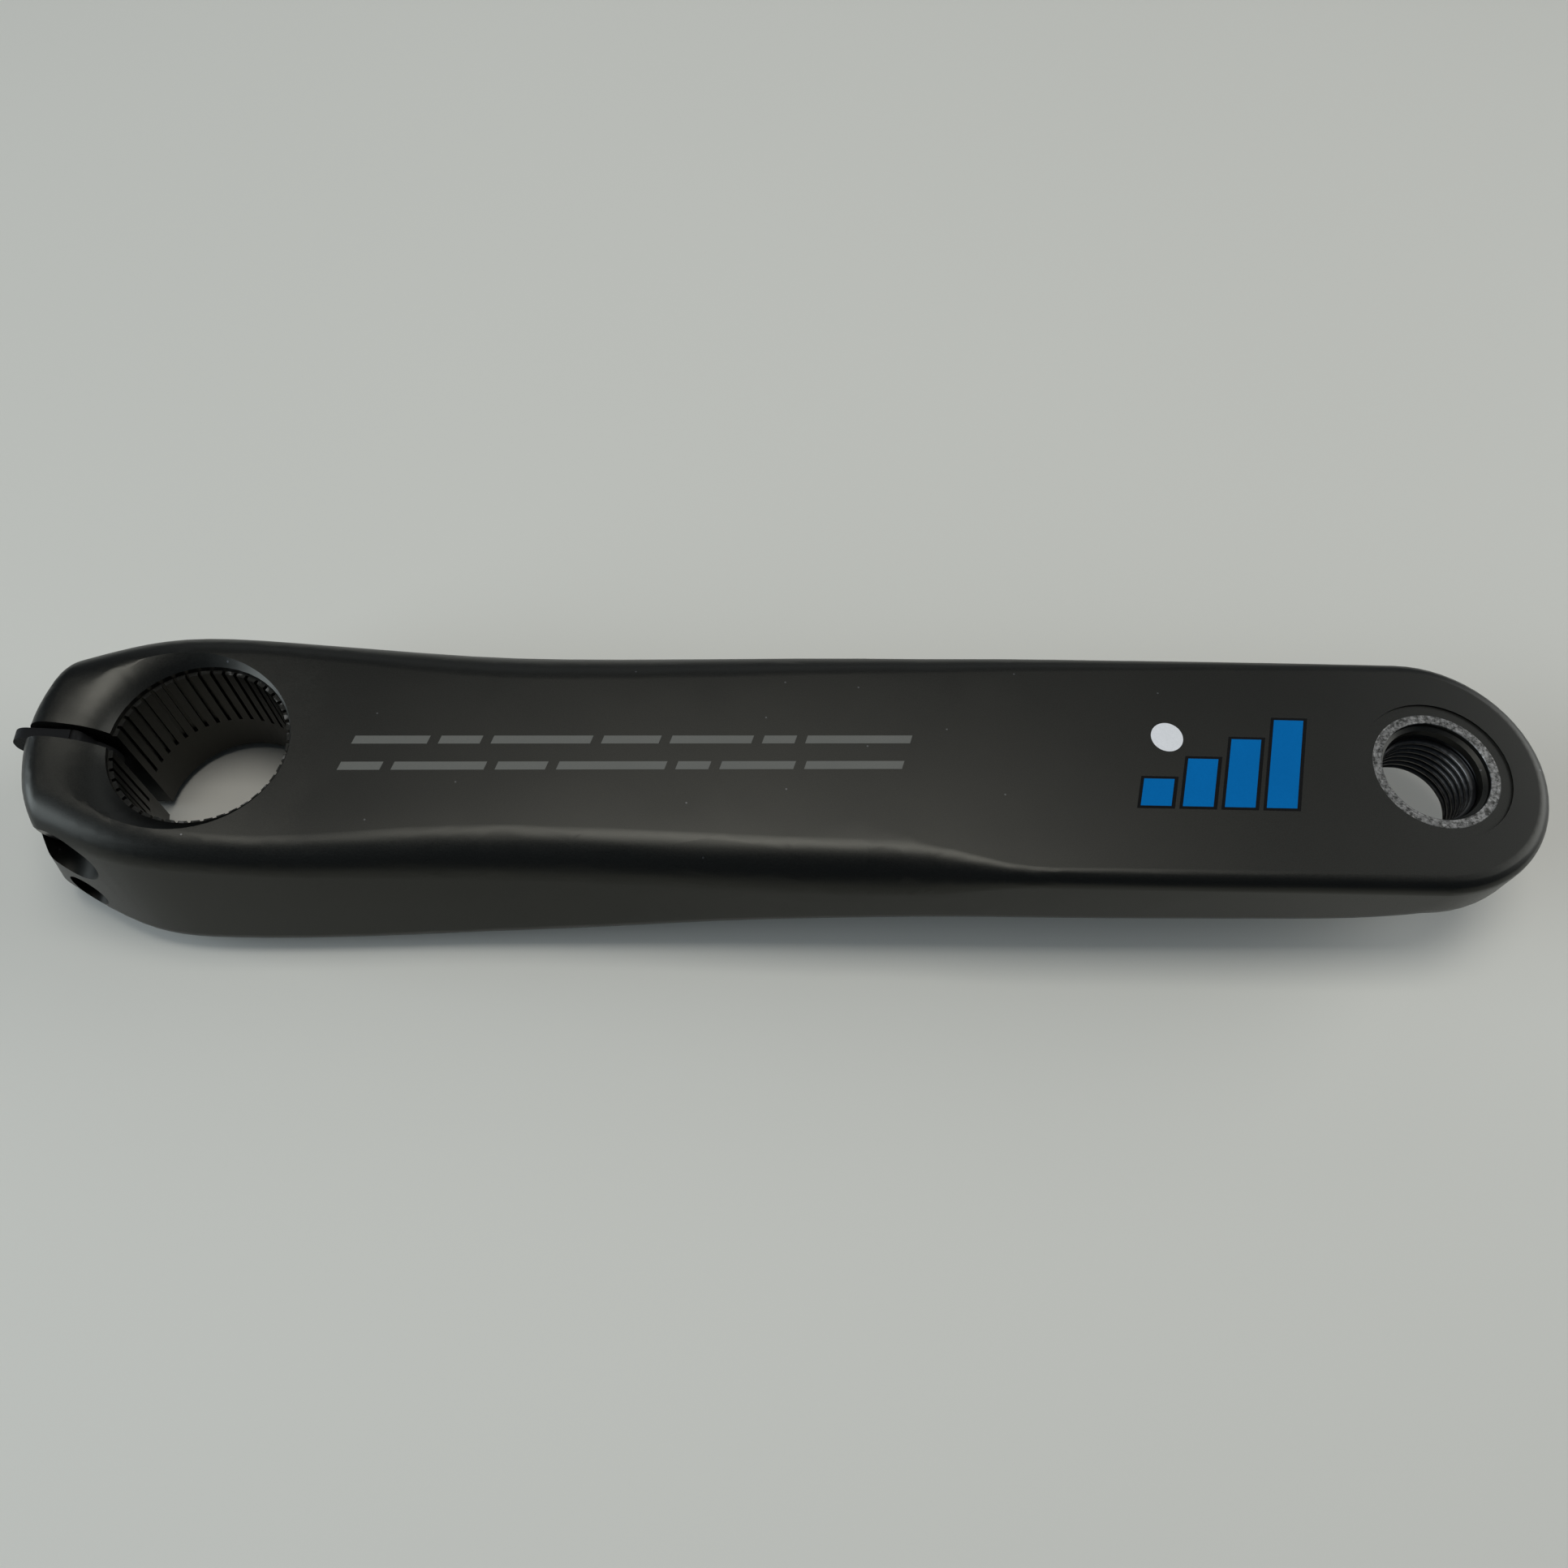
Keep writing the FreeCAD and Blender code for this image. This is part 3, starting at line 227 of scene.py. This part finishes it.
def arm_material():
    """Dark satin anodising, rubbed through to bare metal on the pedal ring, with painted glints of bare
    metal at the outboard ends of the spline ribs.
    """
    across_scale, around_scale = 9000.0, 2.0
    paint = Shader("anodised_arm")
    x, y, z = paint.split(paint.place)
    from_eye = paint.math("SUBTRACT", x, CRANK_LENGTH)
    eye_radius = paint.from_axis(from_eye, y)
    eye_angle = paint.math("ARCTAN2", y, from_eye)
    turned = paint.join(paint.times(eye_radius, across_scale), paint.times(eye_angle, around_scale), 0.0)
    scratches = paint.noise(scale=1.0, detail=3.0, vector=turned, roughness=0.6)
    chips = paint.remap(paint.noise(scale=1500.0, detail=5.0, roughness=0.75), (0.40, 0.60), (0.05, 1.0))
    on_ring = pedal_ring_mask(paint, eye_radius, z)
    # Bare metal where the pedal ring is worn, plus the painted glints at the rib ends.
    bare = paint.math("MAXIMUM", paint.times(on_ring, chips), rib_end_glints(paint, x, y, z))

    grain = paint.noise(scale=7000.0, detail=2.0)
    shine = paint.mix(scratches, grey(0.14), grey(0.50, (1.0, 0.98, 0.92)))
    coat_roughness = paint.remap(grain, (0.3, 0.7), (0.34, 0.42))
    bare_roughness = paint.remap(scratches, (0.3, 0.7), (0.25, 0.5))
    paint.set(
        Base_Color=paint.mix(bare, anodised_coat(paint, x, y, grain), shine),
        Metallic=1.0,
        Roughness=paint.blend(bare, coat_roughness, bare_roughness),
    )
    grain_height = paint.times(grain, 0.35)
    scratch_height = paint.times(scratches, on_ring)
    paint.bump(paint.math("ADD", grain_height, scratch_height), strength=0.12, distance=0.03 * MM)
    return paint.material


def thread_material():
    """Cut thread: lighter towards the crests, darker towards the roots."""
    paint = Shader("thread_metal")
    x, y, _ = paint.split(paint.place)
    radius = paint.from_axis(paint.math("SUBTRACT", x, CRANK_LENGTH), y)
    flank = (THREAD_RADIUS - THREAD_DEPTH, THREAD_RADIUS - 0.5 * THREAD_DEPTH)
    crest = paint.remap(radius, flank, (1.0, 0.0))
    grain = paint.noise(scale=1500.0, detail=3.0)
    crest_tone = paint.times(crest, paint.remap(grain, (0.3, 0.6), (0.6, 1.0)))
    paint.set(
        Base_Color=paint.mix(crest_tone, grey(0.02), grey(0.16, (1.0, 0.97, 0.93))),
        Metallic=1.0,
        Roughness=paint.remap(grain, (0.3, 0.7), (0.3, 0.45)),
    )
    return paint.material


def metal_material(name, level, tint, roughness, scale, streak):
    """Machined metal with streaks along one axis."""
    paint = Shader(name)
    x, y, z = paint.split(paint.place)
    stretched = paint.join(x, paint.times(y, streak), z)
    brushed = paint.noise(scale, detail=3.0, vector=stretched, roughness=0.6)
    paint.set(
        Base_Color=paint.mix(brushed, grey(level * 0.75, tint), grey(level * 1.2, tint)),
        Metallic=1.0,
        Roughness=paint.remap(brushed, (0.3, 0.7), (roughness * 0.8, roughness * 1.25)),
    )
    paint.bump(brushed, strength=0.08, distance=0.02 * MM)
    return paint.material


def plastic_material(name, color, roughness, grain_scale, bump, specular=0.5):
    """Moulded plastic with a fine spark-eroded grain."""
    paint = Shader(name)
    grain = paint.noise(grain_scale, detail=3.0)
    cloud = paint.noise(scale=90.0, detail=2.0)
    lighter = tuple(min(1.0, channel * 1.35) for channel in color[:3]) + (1.0,)
    paint.set(
        Base_Color=paint.mix(paint.times(grain, cloud), color, lighter),
        Roughness=paint.remap(grain, (0.3, 0.7), (roughness * 0.85, roughness * 1.15)),
        Specular_IOR_Level=specular,
    )
    paint.bump(grain, bump, distance=0.05 * MM)
    return paint.material


def print_material(name, color, roughness, specular, grain_scale=4000.0):
    """Ink with hardly any grain."""
    return plastic_material(name, color, roughness, grain_scale, bump=0.05, specular=specular)


def dress(material, *names):
    for name in names:
        data = NODES[name].data
        data.materials.clear()
        data.materials.append(material)


def soften(name, crease):
    """Shades a node smoothly across every edge flatter than the crease angle."""
    item = NODES[name]
    weld = item.modifiers.new("weld", "WELD")
    weld.merge_threshold = 0.001 * MM
    split = item.modifiers.new("split", "EDGE_SPLIT")
    split.split_angle = crease
    split.use_edge_sharp = False
    item.modifiers.new("normals", "WEIGHTED_NORMAL")


def dress_metals():
    dress(
        metal_material("bolt_steel", 0.26, (1.0, 0.98, 0.95), roughness=0.34, scale=900.0, streak=0.2),
        "pinch_bolt_upper", "pinch_bolt_lower")
    dress(
        metal_material("cell_steel", 0.62, NEUTRAL, roughness=0.25, scale=700.0, streak=0.15),
        "coin_cell")
    dress(
        metal_material("spring_brass", 0.75, (1.0, 0.78, 0.40), roughness=0.3, scale=900.0, streak=0.3),
        "negative_contact", "positive_contact")
    dress(
        metal_material("shield_steel", 0.55, (1.0, 1.0, 0.97), roughness=0.32, scale=800.0, streak=0.3),
        "radio_shield")


def dress_plastics():
    dress(
        plastic_material("stopper_plastic", grey(0.004), 0.6, grain_scale=3000.0, bump=0.15, specular=0.15),
        "stopper_plate")
    dress(
        plastic_material("pod_plastic", grey(0.018), 0.5, grain_scale=2500.0, bump=0.35),
        "pod_housing")
    dress(
        plastic_material("door_plastic", grey(0.022), 0.42, grain_scale=3000.0, bump=0.25),
        "battery_door")
    dress(
        plastic_material("bond_rubber", grey(0.012), 0.6, grain_scale=1500.0, bump=0.3),
        "bond_gasket")
    dress(
        plastic_material("seal_rubber", (0.10, 0.012, 0.010, 1.0), 0.5, grain_scale=2000.0, bump=0.2),
        "door_seal")
    dress(
        plastic_material("board_laminate", (0.012, 0.11, 0.045, 1.0), 0.3, grain_scale=1200.0, bump=0.1),
        "circuit_board")
    dress(
        plastic_material("chip_plastic", grey(0.016), 0.55, grain_scale=4000.0, bump=0.2),
        "radio_chip", "motion_sensor")
    ivory, straw, ice = (1.0, 1.0, 0.95), (1.0, 1.0, 0.85), (0.95, 0.98, 1.0)
    dress(
        plastic_material("antenna_ceramic", grey(0.72, ivory), 0.35, grain_scale=2000.0, bump=0.1),
        "chip_antenna")
    dress(
        plastic_material("led_plastic", grey(0.7, straw), 0.2, grain_scale=2000.0, bump=0.05),
        "status_led")
    dress(
        plastic_material("pipe_plastic", grey(0.5, ice), 0.35, grain_scale=3000.0, bump=0.2),
        "light_pipe")
    dress(
        plastic_material("gauge_film", (0.42, 0.17, 0.02, 1.0), 0.25, grain_scale=1500.0, bump=0.1),
        "strain_gauge", "gauge_ribbon")


# Meshes

def linked(name, mesh):
    data = bpy.data.meshes.new(name)
    mesh.to_mesh(data)
    mesh.free()
    item = bpy.data.objects.new(name, data)
    bpy.context.scene.collection.objects.link(item)
    return item


def grid_mesh(name, rows, closed):
    """Object from rows of points; closed rows join their ends."""
    mesh = bmesh.new()
    lines = [[mesh.verts.new(point) for point in row] for row in rows]
    for low, high in zip(lines, lines[1:]):
        count = len(low)
        for step in range(count if closed else count - 1):
            after = (step + 1) % count
            mesh.faces.new((low[step], low[after], high[after], high[step]))
    bmesh.ops.recalc_face_normals(mesh, faces=mesh.faces)
    return linked(name, mesh)


def slabs(name, outlines, low, high):
    """Thin flat pieces with the given corner lists, all in one object."""
    mesh = bmesh.new()
    for corners in outlines:
        under = [mesh.verts.new((x, y, low)) for x, y in corners]
        over = [mesh.verts.new((x, y, high)) for x, y in corners]
        mesh.faces.new(over)
        mesh.faces.new(list(reversed(under)))
        for step in range(len(corners)):
            after = (step + 1) % len(corners)
            mesh.faces.new((under[step], under[after], over[after], over[step]))
    bmesh.ops.recalc_face_normals(mesh, faces=mesh.faces)
    return linked(name, mesh)


def circle_angles(count):
    return [2 * math.pi * step / count for step in range(count)]


def put_on_arm(item, material):
    """Gives a new piece its finish and lets it move with the arm."""
    item.data.materials.append(material)
    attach(item, "arm")


def pedal_ring(material):
    """Flat ring of bare metal round the pedal eye, which fills the outer part of the chamfer."""
    columns = 128
    edge = 3 * SKIN
    slope = CHAMFER_DEPTH / (CHAMFER_RADIUS - THREAD_RADIUS)
    top = PEDAL_SEAT - SKIN
    foot = PEDAL_SEAT - slope * (CHAMFER_RADIUS - RING_RADIUS) + SKIN
    section = (
        (CHAMFER_RADIUS - edge, top),
        (RING_RADIUS + edge, top),
        (RING_RADIUS, top - edge),
        (RING_RADIUS, foot),
        (CHAMFER_RADIUS - edge, top),
    )
    rows = []
    for radius, height in section:
        rows.append([
            (CRANK_LENGTH + radius * math.cos(angle), radius * math.sin(angle), height)
            for angle in circle_angles(columns)])
    put_on_arm(grid_mesh("pedal_ring", rows, closed=True), material)


def pedal_thread():
    """Left-hand thread in the pedal eye, as flat-topped ridges that stand in from the plain wall."""
    columns = 96
    steps_per_turn = 12
    run_out = 0.6 * THREAD_PITCH
    steepness = 1.25
    length = THREAD_END - THREAD_START
    levels = round(length / THREAD_PITCH * steps_per_turn)
    rows = []
    for level in range(levels + 1):
        height = THREAD_START + length * level / levels
        from_end = min(height - THREAD_START, THREAD_END - height)
        depth = THREAD_DEPTH * min(1.0, from_end / run_out)
        row = []
        for column, angle in enumerate(circle_angles(columns)):
            phase = (height / THREAD_PITCH + column / columns) % 1.0
            ridge = 1.0 - abs(2.0 * phase - 1.0)
            radius = THREAD_RADIUS - SKIN - depth * min(1.0, steepness * ridge)
            row.append((CRANK_LENGTH + radius * math.cos(angle), radius * math.sin(angle), height))
        rows.append(row)
    item = grid_mesh("pedal_thread", rows, closed=True)
    item.data.flip_normals()
    for face in item.data.polygons:
        face.use_smooth = True
    put_on_arm(item, thread_material())


# Print on the outboard face, laid out in millimetres

def leaning_bar(x, y, length, height, lean):
    """Corners of a bar that leans towards the pedal, from its lower left corner."""
    shift = lean * height
    return [(x, y), (x + length, y), (x + length + shift, y + height), (x + shift, y + height)]


def turned_about(corners, centre, angle):
    cos, sin = math.cos(angle), math.sin(angle)
    result = []
    for x, y in corners:
        across, up = x - centre[0], y - centre[1]
        result.append((centre[0] + across * cos - up * sin, centre[1] + across * sin + up * cos))
    return result


def printed(name, outlines, layer, material):
    """One layer of print on the outboard face."""
    in_metres = [[(x * MM, y * MM) for x, y in corners] for corners in outlines]
    top = OUTER_FACE + layer * SKIN
    put_on_arm(slabs(name, in_metres, top - 0.5 * SKIN, top), material)


def dash_print():
    """Two rows of leaning grey dashes along the middle of the arm."""
    start, finish, gap, stroke, lean = 20.0, 97.0, 1.5, 1.25, 0.35
    centre, turn = (58.8, 0.0), math.radians(1.5)
    rows = (
        (1.35, (9.0, 5.0, 12.0, 7.0, 10.0, 4.0, 13.0)),
        (-2.7, (5.0, 11.0, 6.0, 13.0, 4.0, 9.0, 12.0)),
    )
    outlines = []
    for height, lengths in rows:
        stretch = (finish - start - gap * (len(lengths) - 1)) / sum(lengths)
        x = start + lean * height
        for length in lengths:
            bar = leaning_bar(x, height, length * stretch, stroke, lean)
            outlines.append(turned_about(bar, centre, turn))
            x += length * stretch + gap
    ink = print_material("print_grey", grey(0.098, (1.0, 1.0, 0.88)), roughness=0.5, specular=0.3)
    printed("dash_print", outlines, 1, ink)


def level_print():
    """Four blue bars that step up towards the pedal, edged in black, with a white dot."""
    left, foot, pitch, width, lean = 129.0, -6.6, 5.9, 4.3, 0.25
    lowest, rise = 4.2, 3.3
    border, border_left, border_across = 0.4, 0.55, 1.0
    dot_x, dot_y, dot_radius, dot_corners = 134.2, 4.3, 2.3, 48
    bars = []
    edges = []
    for step in range(4):
        x, height = left + pitch * step, lowest + rise * step
        bars.append(leaning_bar(x, foot, width, height, lean))
        edges.append(leaning_bar(
            x - border_left, foot - border, width + border_across, height + 2 * border, lean))
    dot = [
        (dot_x + dot_radius * math.cos(angle), dot_y + dot_radius * math.sin(angle))
        for angle in circle_angles(dot_corners)]
    black = print_material("print_black", grey(0.002), roughness=0.6, specular=0.08, grain_scale=3000.0)
    blue = print_material("print_blue", (0.0, 0.113, 0.333, 1.0), roughness=0.5, specular=0.03)
    white = print_material("print_white", grey(0.62), roughness=0.45, specular=0.5)
    printed("level_edge_print", edges, 1, black)
    printed("level_print", bars, 2, blue)
    printed("level_dot_print", [dot], 1, white)


# Stage

def table_material():
    tint = (1.0, 0.98, 0.88)
    paint = Shader("table")
    cloud = paint.noise(scale=4.0, detail=2.0)
    paint.set(Base_Color=paint.mix(cloud, grey(0.575, tint), grey(0.615, tint)), Roughness=0.6)
    return paint.material


def table():
    reach = 3.0
    rows = [[(x, y, TABLE_HEIGHT) for x in (-reach, reach)] for y in (-reach, reach)]
    item = grid_mesh("table", rows, closed=False)
    item.data.materials.append(table_material())


def area_light(name, place, size, power, spread, color):
    """Soft lamp that faces the middle of the arm."""
    middle = Vector((0.08, 0.0, 0.01))
    data = bpy.data.lights.new(name, "AREA")
    data.shape = "RECTANGLE"
    data.size, data.size_y = size
    data.energy = power
    data.spread = math.radians(spread)
    data.color = color
    item = bpy.data.objects.new(name, data)
    item.location = place
    item.rotation_euler = (middle - Vector(place)).to_track_quat("-Z", "Y").to_euler()
    bpy.context.scene.collection.objects.link(item)


def studio():
    """Soft light from above and from three sides; the near side stays dark, for the near edge to mirror."""
    area_light(
        "overhead", (0.08, 0.11, 0.80),
        size=(0.44, 0.28), power=2.55, spread=180.0, color=(1.0, 0.99, 0.97))
    area_light(
        "left_fill", (-0.95, -0.20, 0.42),
        size=(1.0, 0.7), power=3.2, spread=90.0, color=(0.80, 0.90, 1.0))
    area_light(
        "right_fill", (1.10, 0.30, 0.44),
        size=(1.0, 0.7), power=2.0, spread=90.0, color=(0.96, 0.98, 1.0))
    area_light(
        "back_fill", (0.08, 1.30, 0.62),
        size=(1.4, 0.5), power=1.2, spread=180.0, color=(0.92, 0.96, 1.0))
    world = bpy.data.worlds.new("room")
    world.use_nodes = True
    back = world.node_tree.nodes["Background"]
    back.inputs["Color"].default_value = (0.42, 0.53, 0.66, 1.0)
    back.inputs["Strength"].default_value = 0.14
    bpy.context.scene.world = world


def camera():
    """Camera of the photograph: above the near side, looking down at a slant, turned and rolled a little."""
    tilt, turn, roll = math.radians(27.175), math.radians(-5.292), math.radians(-5.915)
    place = Vector((72.41, -83.70, 175.88)) * MM
    focal_pixels, image_pixels, sensor = 1566.3, 1932.0, 36.0
    data = bpy.data.cameras.new("camera")
    data.sensor_width = sensor
    data.lens = sensor * focal_pixels / image_pixels
    data.clip_start = 5.0 * MM
    item = bpy.data.objects.new("camera", data)
    facing = Matrix.Rotation(turn, 4, "Z") @ Matrix.Rotation(tilt, 4, "X")
    item.matrix_world = Matrix.Translation(place) @ facing @ Matrix.Rotation(-roll, 4, "Z")
    bpy.context.scene.collection.objects.link(item)
    bpy.context.scene.camera = item


arm_finish = arm_material()
dress(arm_finish, "crank_arm")
soften("crank_arm", crease=math.radians(28.0))
dress_metals()
dress_plastics()
pedal_ring(arm_finish)
pedal_thread()
dash_print()
level_print()
table()
studio()
camera()
bpy.context.scene.view_settings.view_transform = "Standard"
